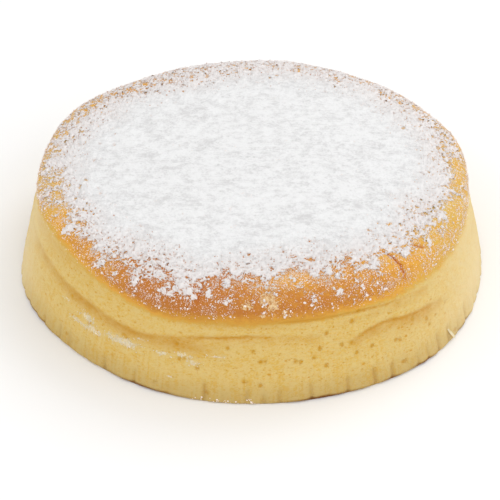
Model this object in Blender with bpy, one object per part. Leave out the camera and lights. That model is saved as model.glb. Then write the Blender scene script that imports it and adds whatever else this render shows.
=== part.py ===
"""Soufflé cheesecake baked in a lined round tin: one whole, uncut cake.

The cake is one closed body. Its wall leans in from a wide foot to the browned rim, with a
slack crease part of the way up, then rolls over a soft shoulder onto a low dome. The lower
wall keeps the small upright pleats of the paper that lined the tin. All lengths are in
metres, +Z is up, and the origin is the middle of the underside.
"""

import math
import random

import bmesh
import bpy

# Driving sizes of the cake.
FOOT_RADIUS = 0.1003        # where the wall meets the base
RIM_RADIUS = 0.0914         # where the pale wall ends and the browned crust starts
SHOULDER_RADIUS = 0.0907    # where the crust starts to roll over
RIM_HEIGHT = 0.0322
SHOULDER_HEIGHT = 0.0385
CAKE_HEIGHT = 0.0485        # middle of the dome
BASE_ROUNDING = 0.0008      # small radius round the underside
FLARE_POWER = 1.15          # 1 would make the wall a straight cone

# The roll-over from wall to dome is a superellipse: squarer than an ellipse.
SHOULDER_POWER_OUT = 3.7
SHOULDER_POWER_UP = 2.5

# The crease: a shallow groove where the soft wall has sagged over itself.
CREASE_HEIGHT = 0.0240
CREASE_DEPTH = 0.0006
CREASE_HALF_WIDTH = 0.0012
CREASE_GUARD = 0.0026       # the wall is back to its own line this far from the crease

# Paper pleats pressed into the lower wall.
PLEAT_COUNT = 60
PLEAT_DEPTH = 0.0011
PLEAT_TOP = 0.75            # part of the way from base to crease
PLEAT_SEED = 11

# Broad unevenness of the plan: (direction in degrees, half width in degrees, part of radius).
FOOT_LOBES = (
    (-45.0, 19.0, 0.020),
    (-132.0, 13.0, -0.009),
    (-164.0, 9.0, 0.008),
    (178.0, 9.0, -0.009),
    (-4.0, 15.0, -0.009),
)
TOP_LOBES = (
    (17.0, 12.0, 0.019),
    (45.0, 12.0, 0.007),
    (79.0, 9.0, 0.014),
    (148.0, 15.0, 0.035),
)
RIM_SHARE = 0.5             # part of the top's unevenness that reaches down to the rim

# The crease wanders up and down, and is deeper in places: (direction, half width, metres).
CREASE_WAVES = (
    (-88.0, 15.0, 0.0032),
    (-120.0, 14.0, -0.0026),
    (-47.0, 12.0, -0.0030),
    (70.0, 30.0, 0.0020),
    (160.0, 25.0, -0.0015),
)
CREASE_FOLDS = (
    (-48.0, 14.0, 0.0009),
    (-100.0, 16.0, 0.0004),
    (40.0, 18.0, 0.0006),
    (130.0, 20.0, 0.0005),
)

# Slow hills and hollows of the dome: (waves across X, waves across Y, phase, metres).
DOME_SWELLS = (
    (1.3, 0.6, 0.4, 0.00040),
    (-0.8, 1.7, 2.1, 0.00035),
    (2.1, 1.9, 4.0, 0.00020),
)

# How finely the skin is divided.
COLUMNS_PER_PLEAT = 3
LOWER_WALL_RINGS = 4
BAND_RINGS = 2
SHOULDER_RINGS = 6
DOME_RINGS = 5
DOME_START = 0.80           # part of the shoulder radius where the dome rings start

SPONGE_COLOUR = (0.75, 0.53, 0.22, 1.0)
SPONGE_ROUGHNESS = 0.85


def clear_objects():
    """Remove whatever the file holds, so that only the cake is left."""
    for old in list(bpy.data.objects):
        bpy.data.objects.remove(old, do_unlink=True)


def hump(angle, centre_deg, half_width_deg):
    """A smooth hump of height 1 round the compass direction centre_deg."""
    away = (math.degrees(angle) - centre_deg + 180.0) % 360.0 - 180.0
    return math.exp(-((away / half_width_deg) ** 2))


def sum_of_humps(angle, humps):
    """Add up the (direction, half width, height) humps in one direction."""
    return sum(height * hump(angle, centre, width) for centre, width, height in humps)


def crease_height(angle):
    """Height of the crease in one direction."""
    return CREASE_HEIGHT + sum_of_humps(angle, CREASE_WAVES)


def crease_depth(angle):
    """Depth of the crease in one direction."""
    return CREASE_DEPTH + sum_of_humps(angle, CREASE_FOLDS)


def top_swell(angle):
    """Factor by which the top is wider in one direction."""
    return 1.0 + sum_of_humps(angle, TOP_LOBES)


def rim_radius(angle):
    """Radius where the wall meets the crust."""
    return RIM_RADIUS * (1.0 + RIM_SHARE * (top_swell(angle) - 1.0))


def wall_radius(height, angle):
    """Radius of the wall between the base and the rim, without its pleats."""
    foot = FOOT_RADIUS * (1.0 + sum_of_humps(angle, FOOT_LOBES))
    rim = rim_radius(angle)
    radius = foot - (foot - rim) * (height / RIM_HEIGHT) ** FLARE_POWER
    away = (height - crease_height(angle)) / CREASE_HALF_WIDTH
    radius -= crease_depth(angle) * math.exp(-away * away)
    corner = 1.0 - height / BASE_ROUNDING
    if corner > 0.0:
        radius -= BASE_ROUNDING * (1.0 - math.sqrt(1.0 - corner * corner))
    return radius


def dome_height(across):
    """Height of the smooth dome where the radius is across times the shoulder's."""
    rise = CAKE_HEIGHT - SHOULDER_HEIGHT
    inside = max(0.0, 1.0 - across ** SHOULDER_POWER_OUT)
    return SHOULDER_HEIGHT + rise * inside ** (1.0 / SHOULDER_POWER_UP)


def dome_swell(x, y):
    """Slow unevenness of the dome, nothing at the shoulder."""
    across = min(1.0, math.hypot(x, y) / SHOULDER_RADIUS)
    total = 0.0
    for waves_x, waves_y, phase, height in DOME_SWELLS:
        turns = (waves_x * x + waves_y * y) / SHOULDER_RADIUS
        total += height * math.sin(math.pi * turns + phase)
    return total * (1.0 - across ** 4)


def make_pleats():
    """Pleats side by side round the wall, each with its own width, depth and top."""
    rng = random.Random(PLEAT_SEED)
    widths = [rng.uniform(0.6, 1.4) for _ in range(PLEAT_COUNT)]
    turn = 2.0 * math.pi / sum(widths)
    pleats = []
    angle = -math.pi
    for width in widths:
        pleats.append({
            "start": angle,
            "width": width * turn,
            "depth": PLEAT_DEPTH * rng.uniform(0.3, 1.3),
            "top": PLEAT_TOP * rng.uniform(0.6, 1.25),
        })
        angle += width * turn
    return pleats


def make_columns(pleats):
    """Directions of the skin's upright edges: each pleat's valley, then its crest.

    Each column is (angle, valley depth, part of the crease height where the valley ends).
    """
    columns = []
    for pleat in pleats:
        for step in range(COLUMNS_PER_PLEAT):
            angle = pleat["start"] + pleat["width"] * step / COLUMNS_PER_PLEAT
            depth = pleat["depth"] if step == 0 else 0.0
            columns.append((angle, depth, pleat["top"]))
    return columns


def wall_ring(columns, height_at):
    """One ring of the wall, at the height that height_at gives for each direction."""
    ring = []
    for angle, depth, top in columns:
        height = height_at(angle)
        climbed = height / (top * crease_height(angle))
        pleat = depth * max(0.0, 1.0 - climbed * climbed)
        ring.append((wall_radius(height, angle) - pleat, height, angle))
    return ring


def wall_levels():
    """Height functions of the wall rings: the base, the lower wall, the crease, the rim."""
    levels = [lambda angle: 0.0]
    levels.append(lambda angle: 0.3 * BASE_ROUNDING)
    levels.append(lambda angle: BASE_ROUNDING)
    for index in range(1, LOWER_WALL_RINGS + 1):
        part = index / LOWER_WALL_RINGS
        levels.append(lambda angle, part=part: part * (crease_height(angle) - CREASE_GUARD))
    for offset in (-CREASE_HALF_WIDTH, 0.0, CREASE_HALF_WIDTH, CREASE_GUARD):
        levels.append(lambda angle, offset=offset: crease_height(angle) + offset)
    levels.append(lambda angle: RIM_HEIGHT)
    return levels


def band_ring(columns, part):
    """One ring between the rim (0) and the start of the shoulder (1)."""
    ring = []
    height = RIM_HEIGHT + (SHOULDER_HEIGHT - RIM_HEIGHT) * part
    for angle, _depth, _top in columns:
        low = rim_radius(angle)
        high = SHOULDER_RADIUS * top_swell(angle)
        ring.append((low + (high - low) * part, height, angle))
    return ring


def dome_ring(columns, across):
    """One ring of the shoulder or dome."""
    ring = []
    for angle, _depth, _top in columns:
        radius = across * SHOULDER_RADIUS * top_swell(angle)
        swell = dome_swell(radius * math.cos(angle), radius * math.sin(angle))
        ring.append((radius, dome_height(across) + swell, angle))
    return ring


def shoulder_steps():
    """Parts of the shoulder radius for the shoulder rings, close together at the rim."""
    steps = []
    for index in range(1, SHOULDER_RINGS + 1):
        quarter = 0.5 * math.pi * index / SHOULDER_RINGS
        outward = math.cos(quarter) ** (2.0 / SHOULDER_POWER_OUT)
        steps.append(DOME_START + (1.0 - DOME_START) * outward)
    return steps


def dome_steps():
    """Parts of the shoulder radius for the dome rings, from the rim inwards."""
    return [DOME_START * (1.0 - index / (DOME_RINGS + 1)) for index in range(1, DOME_RINGS + 1)]


def all_rings(columns):
    """Every ring of the skin, from the underside's edge up to the top of the dome."""
    rings = [wall_ring(columns, height_at) for height_at in wall_levels()]
    rings += [band_ring(columns, index / BAND_RINGS) for index in range(1, BAND_RINGS + 1)]
    rings += [dome_ring(columns, across) for across in shoulder_steps()]
    rings += [dome_ring(columns, across) for across in dome_steps()]
    return rings


def build_skin(rings):
    """Join the rings into one closed mesh with a flat underside."""
    mesh = bmesh.new()
    loops = []
    for ring in rings:
        points = [(r * math.cos(a), r * math.sin(a), z) for r, z, a in ring]
        loops.append([mesh.verts.new(point) for point in points])
    count = len(loops[0])
    for lower, upper in zip(loops, loops[1:]):
        for i in range(count):
            j = (i + 1) % count
            mesh.faces.new((lower[i], lower[j], upper[j], upper[i]))
    under = mesh.verts.new((0.0, 0.0, 0.0))
    crown = mesh.verts.new((0.0, 0.0, dome_height(0.0) + dome_swell(0.0, 0.0)))
    for i in range(count):
        j = (i + 1) % count
        mesh.faces.new((loops[0][j], loops[0][i], under))
        mesh.faces.new((loops[-1][i], loops[-1][j], crown))
    bmesh.ops.triangulate(mesh, faces=mesh.faces[:])
    bmesh.ops.recalc_face_normals(mesh, faces=mesh.faces[:])
    return mesh


def sponge_material():
    """Pale butter-yellow sponge."""
    material = bpy.data.materials.new("sponge")
    material.use_nodes = True
    shader = material.node_tree.nodes["Principled BSDF"]
    shader.inputs["Base Color"].default_value = SPONGE_COLOUR
    shader.inputs["Roughness"].default_value = SPONGE_ROUGHNESS
    shader.inputs["Metallic"].default_value = 0.0
    return material


def make_cheesecake():
    """Build the cake as one object."""
    skin = build_skin(all_rings(make_columns(make_pleats())))
    data = bpy.data.meshes.new("cheesecake")
    skin.to_mesh(data)
    skin.free()
    data.shade_smooth()
    data.materials.append(sponge_material())
    cake = bpy.data.objects.new("cheesecake", data)
    bpy.context.scene.collection.objects.link(cake)
    return cake


def main():
    clear_objects()
    make_cheesecake()


if __name__ == "__main__":
    main()
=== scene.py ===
# %% [markdown]
# # A soufflé cheesecake under icing sugar
#
# This lesson dresses a plain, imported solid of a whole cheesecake. The solid already has the
# right size, so everything here is measured from it. The cake is soft, pale and pored at the
# side, browned on top, and dusted with sugar that lies thick in the middle and breaks up into
# clumps and grains towards the rim. Every step first says what the real thing is like, and
# then makes it.

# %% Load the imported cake
import math
import random

import bmesh
import bpy
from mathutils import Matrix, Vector
from mathutils.bvhtree import BVHTree


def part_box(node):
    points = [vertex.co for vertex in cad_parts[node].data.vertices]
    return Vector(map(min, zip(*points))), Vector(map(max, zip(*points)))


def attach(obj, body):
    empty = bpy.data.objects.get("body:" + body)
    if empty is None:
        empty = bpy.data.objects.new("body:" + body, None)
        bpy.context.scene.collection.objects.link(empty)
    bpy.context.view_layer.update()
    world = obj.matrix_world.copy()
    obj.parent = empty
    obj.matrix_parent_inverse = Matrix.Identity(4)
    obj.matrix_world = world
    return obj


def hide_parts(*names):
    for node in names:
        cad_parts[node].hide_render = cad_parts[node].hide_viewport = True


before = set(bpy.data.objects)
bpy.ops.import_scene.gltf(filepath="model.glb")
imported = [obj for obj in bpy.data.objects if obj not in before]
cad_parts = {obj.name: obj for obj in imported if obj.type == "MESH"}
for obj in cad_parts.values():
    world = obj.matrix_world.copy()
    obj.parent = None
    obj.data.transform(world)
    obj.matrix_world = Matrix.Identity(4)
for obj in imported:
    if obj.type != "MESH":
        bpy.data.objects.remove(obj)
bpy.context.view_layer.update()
cad_low, cad_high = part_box("cheesecake")
print("cake box in mm", [round(1000 * side, 1) for side in cad_high - cad_low])

# %% [markdown]
# ## Sizes
#
# A cake has few sizes that matter: the foot, the rim where the crust starts, the shoulder
# and the dome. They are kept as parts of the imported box, so the looks still fit if the solid
# is built again at another size. Small things, such as pores, are in millimetres.

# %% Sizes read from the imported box
MM = 0.001
foot_radius = 0.5 * (cad_high.y - cad_low.y)
full_height = cad_high.z - cad_low.z
rim_radius = 0.913 * foot_radius
shoulder_radius = 0.9055 * foot_radius
rim_height = 0.655 * full_height
shoulder_height = 0.783 * full_height
dome_height = 0.976 * full_height
# one degree of the way round, in metres along the rim
degree = 2.0 * math.pi * rim_radius / 360.0
print("foot", round(foot_radius / MM, 1), "dome", round(dome_height / MM, 1), "mm")

# %% [markdown]
# ## Light, floor and camera
#
# Pale food is shown at its best under a large soft light above and behind it, with white
# all round to fill the front. The floor is plain and white. The camera looks down steeply
# from the front with a long lens, which keeps the circle of the cake almost a true ellipse.

# %% Colour management and world
scene = bpy.context.scene
scene.view_settings.view_transform = "Standard"
scene.view_settings.look = "None"
WORLD_STRENGTH = 0.76


def make_world(strength):
    """A plain white surround."""
    world = bpy.data.worlds.new("studio")
    world.use_nodes = True
    surround = world.node_tree.nodes["Background"]
    surround.inputs["Color"].default_value = (1.0, 1.0, 1.0, 1.0)
    surround.inputs["Strength"].default_value = strength
    scene.world = world


make_world(WORLD_STRENGTH)
print("white surround of strength", WORLD_STRENGTH)

# %% Lamps
# name, place, length of a side, watts
LAMPS = (
    ("key_light", (0.42, 0.55, 0.80), 0.6, 2.7),
    ("front_fill", (0.05, -1.0, 0.75), 1.0, 1.7),
    ("left_fill", (-0.95, -0.45, 0.70), 1.0, 2.6),
    ("right_fill", (0.95, -0.45, 0.70), 1.0, 3.2),
)


def new_object(name, data):
    """Put a mesh, a lamp or a camera into the scene."""
    thing = bpy.data.objects.new(name, data)
    scene.collection.objects.link(thing)
    return thing


def aim(thing, target):
    """Turn a lamp or camera to look at a point."""
    way = Vector(target) - thing.location
    thing.rotation_euler = way.to_track_quat("-Z", "Y").to_euler()


def make_lamp(name, place, side, watts):
    """One square soft light that faces the cake."""
    data = bpy.data.lights.new(name, "AREA")
    data.shape = "SQUARE"
    data.size = side
    data.energy = watts
    lamp = new_object(name, data)
    lamp.location = place
    aim(lamp, (0.0, 0.0, 0.0))


for lamp_row in LAMPS:
    make_lamp(*lamp_row)
print(len(LAMPS), "soft lights")

# %% Camera
CAMERA_ELEVATION = math.radians(37.13)
CAMERA_DISTANCE = 0.8
FOCAL_LENGTH = 132.3
SENSOR_WIDTH = 36.0
AIM_POINT = Vector((-0.0011, 0.0, 0.0005))


def make_camera():
    """A long lens in front of the cake, looking down on it."""
    data = bpy.data.cameras.new("camera")
    data.lens = FOCAL_LENGTH
    data.sensor_width = SENSOR_WIDTH
    camera = new_object("camera", data)
    back = Vector((0.0, -math.cos(CAMERA_ELEVATION), math.sin(CAMERA_ELEVATION)))
    camera.location = AIM_POINT + CAMERA_DISTANCE * back
    aim(camera, AIM_POINT)
    scene.camera = camera


make_camera()
print("camera at", [round(part, 3) for part in scene.camera.location])

# %% Floor
FLOOR_COLOUR = (0.93, 0.93, 0.93, 1.0)
FLOOR_ROUGHNESS = 0.9
FLOOR_HALF = 3.0
FLOOR_GAP = 0.1 * MM


def make_floor(half):
    """A pale floor just under the cake."""
    material = bpy.data.materials.new("floor")
    material.use_nodes = True
    shader = material.node_tree.nodes["Principled BSDF"]
    shader.inputs["Base Color"].default_value = FLOOR_COLOUR
    shader.inputs["Roughness"].default_value = FLOOR_ROUGHNESS
    mesh = bpy.data.meshes.new("floor")
    corners = [(-half, -half, 0.0), (half, -half, 0.0), (half, half, 0.0), (-half, half, 0.0)]
    mesh.from_pydata(corners, [], [(0, 1, 2, 3)])
    mesh.materials.append(material)
    floor = new_object("floor", mesh)
    floor.location.z = cad_low.z - FLOOR_GAP
    return floor


make_floor(FLOOR_HALF)
print("floor", 2.0 * FLOOR_HALF, "m wide")

# %% [markdown]
# ## Helpers for node trees
#
# A node tree is easier to read when its sums look like sums. `Num` wraps a number socket, so
# that `a * 2.0 + b` places the Math nodes by itself. It works in geometry trees and in
# shader trees alike.

# %% Place and link nodes


def fill(tree, slot, value):
    """Link a socket to a node input, or set the input to a plain value."""
    if isinstance(value, Num):
        value = value.socket
    if isinstance(value, bpy.types.NodeSocket):
        tree.links.new(value, slot)
    else:
        slot.default_value = value


def add_node(tree, kind, inputs=None, **options):
    """Place a node, set its options, and fill its inputs by name or number."""
    node = tree.nodes.new(kind)
    for option, value in options.items():
        setattr(node, option, value)
    for label, value in (inputs or {}).items():
        fill(tree, node.inputs[label], value)
    return node


# %% Arithmetic with sockets


def calculate(tree, operation, *values):
    """One Math node, as a Num."""
    node = add_node(tree, "ShaderNodeMath", dict(enumerate(values)), operation=operation)
    return Num(tree, node.outputs[0])


class Num:
    """A number socket that adds and multiplies like a plain number."""

    def __init__(self, tree, socket):
        self.tree = tree
        self.socket = socket

    def do(self, operation, *others):
        return calculate(self.tree, operation, self, *others)

    def __add__(self, other):
        return self.do("ADD", other)

    def __sub__(self, other):
        return self.do("SUBTRACT", other)

    def __rsub__(self, other):
        return calculate(self.tree, "SUBTRACT", other, self)

    def __mul__(self, other):
        return self.do("MULTIPLY", other)

    def __truediv__(self, other):
        return self.do("DIVIDE", other)

    def __pow__(self, other):
        return self.do("POWER", other)

    __radd__ = __add__
    __rmul__ = __mul__

    def clamp(self, low=0.0, high=1.0):
        return self.do("MAXIMUM", low).do("MINIMUM", high)

    def ramp(self, start, end):
        """0 below start, 1 above end, eased in between."""
        node = add_node(
            self.tree,
            "ShaderNodeMapRange",
            {"Value": self, "From Min": start, "From Max": end},
            interpolation_type="SMOOTHSTEP",
        )
        return Num(self.tree, node.outputs["Result"])

    def bell(self, half_width):
        """1 at 0, falling off softly on both sides."""
        part = self / half_width
        return (part * part * -1.0).do("EXPONENT")


# %% Vectors, distances and noise


def split(tree, vector):
    """The X, Y and Z of a vector socket."""
    node = add_node(tree, "ShaderNodeSeparateXYZ", {0: vector})
    return [Num(tree, socket) for socket in node.outputs]


def join(tree, x, y, z):
    """A vector socket from three numbers."""
    return add_node(tree, "ShaderNodeCombineXYZ", {0: x, 1: y, 2: z}).outputs[0]


def scaled(tree, vector, factor):
    """A vector times a number."""
    node = add_node(tree, "ShaderNodeVectorMath", {0: vector, "Scale": factor}, operation="SCALE")
    return node.outputs[0]


def combined(tree, operation, first, second):
    """The sum or difference of two vectors."""
    node = add_node(tree, "ShaderNodeVectorMath", {0: first, 1: second}, operation=operation)
    return node.outputs[0]


def from_axis(x, y):
    """Distance from the upright line through the middle of the cake."""
    return (x * x + y * y) ** 0.5


def total_of(values):
    """The sum of several Nums."""
    total, *rest = values
    for value in rest:
        total = total + value
    return total


def noise(tree, vector, size, detail=2.0, rough=0.5):
    """Soft random hills about 0, each about size across, from -0.5 to 0.5."""
    node = add_node(
        tree,
        "ShaderNodeTexNoise",
        {"Vector": vector, "Scale": 1.0 / size, "Detail": detail, "Roughness": rough},
    )
    return Num(tree, node.outputs[0]) - 0.5


# %% Inputs and outputs of a tree
SOCKET_KINDS = {int: "Int", float: "Float", type(None): "Object"}


def new_socket(tree, name, side, kind):
    """Add an input or an output to a tree."""
    return tree.interface.new_socket(name=name, in_out=side, socket_type="NodeSocket" + kind)


def named_inputs(tree, inputs):
    """Add named inputs to a tree, with their values. Gives all inputs as Nums."""
    for label, value in inputs.items():
        new_socket(tree, label, "INPUT", SOCKET_KINDS[type(value)]).default_value = value
    group_in = tree.nodes.new("NodeGroupInput")
    return {socket.name: Num(tree, socket) for socket in group_in.outputs}


def hand_out(tree, result):
    """Give the result out of the tree."""
    fill(tree, tree.nodes.new("NodeGroupOutput").inputs[0], result)


# %% Geometry trees and how to run them


def start_tree(name, inputs):
    """A geometry tree with named inputs. Gives the tree and its inputs as Nums."""
    tree = bpy.data.node_groups.new(name, "GeometryNodeTree")
    new_socket(tree, "Geometry", "INPUT", "Geometry")
    new_socket(tree, "Geometry", "OUTPUT", "Geometry")
    return tree, named_inputs(tree, inputs)


def end_tree(tree, geometry, material):
    """Realize, give the material, shade smooth, and hand the geometry out."""
    real = add_node(tree, "GeometryNodeRealizeInstances", {0: geometry})
    smooth = add_node(tree, "GeometryNodeSetShadeSmooth", {0: real.outputs[0]})
    painted = add_node(
        tree, "GeometryNodeSetMaterial", {"Geometry": smooth.outputs[0], "Material": material}
    )
    hand_out(tree, painted.outputs[0])
    return tree


def run_tree(name, tree, values):
    """Run a tree on an empty object and keep the result as a plain mesh."""
    piece = new_object(name, bpy.data.meshes.new(name))
    modifier = piece.modifiers.new(name, "NODES")
    modifier.node_group = tree
    for item in tree.interface.items_tree:
        if item.in_out == "INPUT" and item.name in values:
            modifier[item.identifier] = values[item.name]
    graph = bpy.context.evaluated_depsgraph_get()
    done = bpy.data.meshes.new_from_object(
        piece.evaluated_get(graph), preserve_all_data_layers=True, depsgraph=graph
    )
    piece.modifiers.clear()
    piece.data = done
    done.name = name
    done.calc_loop_triangles()
    print(name, len(done.loop_triangles), "triangles")
    return piece


# %% Steps that several geometry trees take


def position(tree):
    """Where each point is."""
    return add_node(tree, "GeometryNodeInputPosition").outputs[0]


def shape_of(tree, thing):
    """The geometry of another object, in the cake's own frame."""
    info = add_node(tree, "GeometryNodeObjectInfo", {"Object": thing}, transform_space="ORIGINAL")
    return info.outputs["Geometry"]


def moved(tree, geometry, **where):
    """Move the points, to a Position or by an Offset."""
    node = add_node(tree, "GeometryNodeSetPosition", {"Geometry": geometry, **where})
    return node.outputs[0]


def without(tree, geometry, selection):
    """Delete the points that are selected."""
    node = add_node(
        tree, "GeometryNodeDeleteGeometry", {"Geometry": geometry, "Selection": selection}
    )
    return node.outputs[0]


def captured(tree, geometry, **values):
    """Note values on the points before they move. Each value is (kind, socket or Num)."""
    node = add_node(tree, "GeometryNodeCaptureAttribute", {"Geometry": geometry})
    for name, (kind, value) in values.items():
        node.capture_items.new(kind, name)
        fill(tree, node.inputs[name], value)
    return node.outputs


def store(tree, geometry, **values):
    """Keep numbers on every point, by name, for materials and later trees."""
    for name, value in values.items():
        node = add_node(
            tree,
            "GeometryNodeStoreNamedAttribute",
            {"Geometry": geometry, "Name": name, "Value": value},
            data_type="FLOAT",
            domain="POINT",
        )
        geometry = node.outputs[0]
    return geometry


# %% [markdown]
# ## Where the cake is uneven
#
# No baked cake is a true circle. Its unevenness is written as a few humps, each with a
# direction in degrees, a half width in degrees, and a height. -90 is the front and 0 the
# right. The same idea says how high the crust starts, how brown it is, and how far the
# sugar reaches.

# %% Humps round the cake
FOOT_LOBES = (
    (-45.0, 19.0, 0.020), (-132.0, 13.0, -0.009), (-164.0, 9.0, 0.008), (-182.0, 9.0, -0.009),
    (-4.0, 15.0, -0.009),
)
TOP_LOBES = (
    (17.0, 12.0, 0.019), (45.0, 12.0, 0.007), (79.0, 9.0, 0.014), (-212.0, 15.0, 0.035),
)
# the rim swells this much of what the shoulder does
RIM_SHARE = 0.5


def humps(angle, rows, base=0.0):
    """Sum of soft humps in a direction given in degrees, as a Num."""
    total = base
    for centre, half_width, height in rows:
        away = (angle - centre).do("WRAP", 180.0, -180.0)
        total = total + away.bell(half_width) * height
    return total


print(len(FOOT_LOBES), "humps at the foot,", len(TOP_LOBES), "at the top")

# %% [markdown]
# ## Guides on the unrolled wall
#
# The wall's small marks are drawn flat, as on the strip of paper that lined the tin: x is
# the way round in degrees, turned into metres, and y is the way up. Pleats, folds and the
# crack are lines, and large pores are points. A guide presses a groove into the cake where
# the cake comes near it. A guide that is lifted off the strip (z) presses less, so a line
# that rises off it fades out.

# %% Pleats of the baking paper
# direction, top in mm, lift in mm: the pleats that stand out at the front
CLEAR_PLEATS = (
    (-139.0, 15.0, 0.6), (-133.0, 10.0, 0.9), (-127.0, 11.0, 0.3), (-118.5, 12.0, 0.4),
    (-110.0, 9.0, 0.9), (-101.0, 14.0, 0.1), (-97.0, 9.0, 1.0), (-91.5, 12.0, 0.4),
    (-84.0, 11.0, 0.5), (-76.5, 13.0, 0.3), (-68.0, 12.0, 0.2), (-61.0, 13.0, 0.0),
    (-56.5, 12.0, 0.0), (-49.0, 11.0, 0.6), (-45.5, 14.0, 0.5), (-41.5, 14.0, 0.0),
    (-37.5, 13.0, 0.1), (-33.0, 10.0, 0.5), (-28.5, 13.0, 0.1), (-22.0, 12.0, 0.5),
)
LIFT_AT_TOP = 3.0
LIFT_AT_MIDDLE = 0.25
LEAN = 0.7
# the paler pleats at the sides and back, in degrees and mm
CLEAR_ROOM = 3.2
PALE_STEP = (3.6, 8.0)
PALE_TOP = (7.0, 16.0)
PALE_LIFT = (0.1, 1.1)


def unrolled(way, up, lift):
    """A place on the flat strip, from degrees and mm."""
    return way * degree, up * MM, lift * MM


def guide_object(name, lines, to_place):
    """A mesh of bare edges. A line of one row is a single point."""
    spots = []
    edges = []
    for line in lines:
        first = len(spots)
        spots.extend(to_place(*row) for row in line)
        edges.extend((first + i, first + i + 1) for i in range(len(line) - 1))
    mesh = bpy.data.meshes.new(name)
    mesh.from_pydata(spots, edges, [])
    return new_object(name, mesh)


def pleat_lines(rng):
    """The clear pleats, and paler ones at the sides and back."""
    rows = list(CLEAR_PLEATS)
    way = -270.0
    while way < 90.0:
        if min(abs(way - clear[0]) for clear in CLEAR_PLEATS) > CLEAR_ROOM:
            rows.append((way, rng.uniform(*PALE_TOP), rng.uniform(*PALE_LIFT)))
        way += rng.uniform(*PALE_STEP)
    lines = []
    for way, top, lift in rows:
        lean = rng.uniform(-LEAN, LEAN)
        middle = (way + 0.3 * lean, 0.5 * top, lift + LIFT_AT_MIDDLE)
        lines.append([(way, -0.5, lift), middle, (way + lean, top, lift + LIFT_AT_TOP)])
    return lines


pleat_guide = guide_object("pleat_guide", pleat_lines(random.Random(4)), unrolled)
print(len(pleat_guide.data.edges) // 2, "pleats,", len(CLEAR_PLEATS), "of them clear")

# %% Folds of the wall and the cracks in the crust
# each line is rows of direction, height in mm, lift in mm
FOLD_LINES = (
    [(-64.5, 22.0, 1.0), (-62.0, 23.6, 0.2), (-58.5, 24.4, 0.0), (-54.5, 24.2, 0.0)]
    + [(-51.0, 22.8, 0.0), (-47.5, 22.0, 0.1), (-43.0, 21.2, 0.3), (-38.0, 20.4, 1.4)],
    [(-172.0, 27.5, 2.4), (-158.0, 27.6, 2.2), (-146.0, 26.4, 2.3), (-135.0, 25.0, 2.2)]
    + [(-126.0, 23.4, 2.0), (-118.0, 22.6, 2.2), (-112.0, 24.4, 2.0), (-107.0, 25.6, 1.1)]
    + [(-102.0, 26.7, 0.2), (-97.0, 27.6, 0.1), (-91.0, 28.4, 0.2), (-84.0, 28.0, 0.9)]
    + [(-75.0, 27.0, 1.4)],
    [(-86.0, 34.0, 1.0), (-80.0, 33.6, 0.3), (-72.0, 33.2, 0.3), (-65.5, 32.7, 0.2)]
    + [(-62.0, 32.2, 0.1), (-55.5, 31.0, 0.3), (-48.0, 30.0, 0.7), (-40.0, 29.4, 1.5)],
)
CRACK_LINES = (
    [(-49.4, 57.0, 0.9), (-48.9, 54.5, 0.1), (-48.2, 51.5, 0.0), (-48.5, 48.5, 0.0)]
    + [(-48.1, 46.0, 0.0), (-48.8, 43.5, 0.0), (-48.5, 41.0, 0.1), (-48.8, 38.5, 0.4)]
    + [(-48.6, 37.0, 1.2)],
    [(-40.2, 51.5, 0.6), (-39.6, 49.5, 0.2), (-38.6, 47.2, 0.2), (-37.6, 46.0, 0.9)],
    [(-104.0, 55.0, 1.1), (-103.6, 51.0, 0.6), (-103.9, 46.0, 0.3), (-103.8, 41.0, 0.9)],
)


# the faint crease that runs on round the sides and the back, in degrees and mm
SAG_HEIGHT = 24.5
SAG_SWAY = 1.6
SAG_STEP = (7.0, 12.0)


def sagging_lines(rng):
    """The faint crease, left of the clear folds and right of them."""
    rows = []
    way = -270.0
    while way <= 90.0:
        sway = SAG_SWAY * math.sin(math.radians(3.0 * way + 40.0))
        height = SAG_HEIGHT + sway + rng.uniform(-0.5, 0.5)
        faint = 0.7 if way < -165.0 or way > -12.0 else 1.5
        rows.append((way, height, faint + rng.uniform(0.0, 0.6)))
        way += rng.uniform(*SAG_STEP)
    return [[row for row in rows if row[0] < -172.0], [row for row in rows if row[0] > -20.0]]


fold_lines = [*FOLD_LINES, *sagging_lines(random.Random(9))]
fold_guide = guide_object("fold_guide", fold_lines, unrolled)
crack_guide = guide_object("crack_guide", CRACK_LINES, unrolled)
print(len(fold_lines), "folds,", len(CRACK_LINES), "cracks")

# %% Large pores
# direction, height in mm, lift in mm: the gas holes that show best
CLEAR_PORES = (
    (-140.3, 22.8, 0.0), (-140.3, 5.6, 0.4), (-133.0, 16.8, 0.0), (-122.4, 19.4, 0.0),
    (-121.6, 19.2, 0.6), (-113.0, 4.6, 0.5), (-108.3, 22.5, 0.1), (-107.4, 16.6, 0.0),
    (-106.2, 17.2, 0.6), (-103.0, 14.4, 0.2), (-100.5, 4.0, 0.2), (-96.0, 23.8, 0.1),
    (-92.2, 10.2, 0.3), (-91.4, 10.0, 0.7), (-90.0, 22.4, 0.4), (-88.2, 8.5, 0.1),
    (-88.2, 18.2, 0.1), (-87.1, 18.5, 0.6), (-80.0, 17.6, 0.0), (-78.9, 17.2, 0.5),
    (-75.5, 18.2, 0.4), (-74.0, 21.6, 0.3), (-72.8, 14.0, 0.1), (-72.0, 27.0, 0.1),
    (-68.5, 21.2, 0.0), (-66.0, 20.8, 0.4), (-65.3, 29.4, 0.0), (-65.0, 16.2, 0.2),
    (-63.2, 32.5, 0.0), (-61.0, 17.2, 0.3), (-54.4, 15.6, 0.1), (-53.3, 15.0, 0.5),
    (-53.2, 5.6, 0.0), (-52.4, 5.9, 0.7), (-48.4, 20.2, 0.1), (-44.0, 17.2, 0.0),
    (-43.4, 14.2, 0.3), (-36.4, 17.4, 0.4), (-34.9, 3.4, 0.0), (-34.3, 2.8, 0.1),
)
pore_guide = guide_object("pore_guide", [[pore] for pore in CLEAR_PORES], unrolled)
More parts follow.
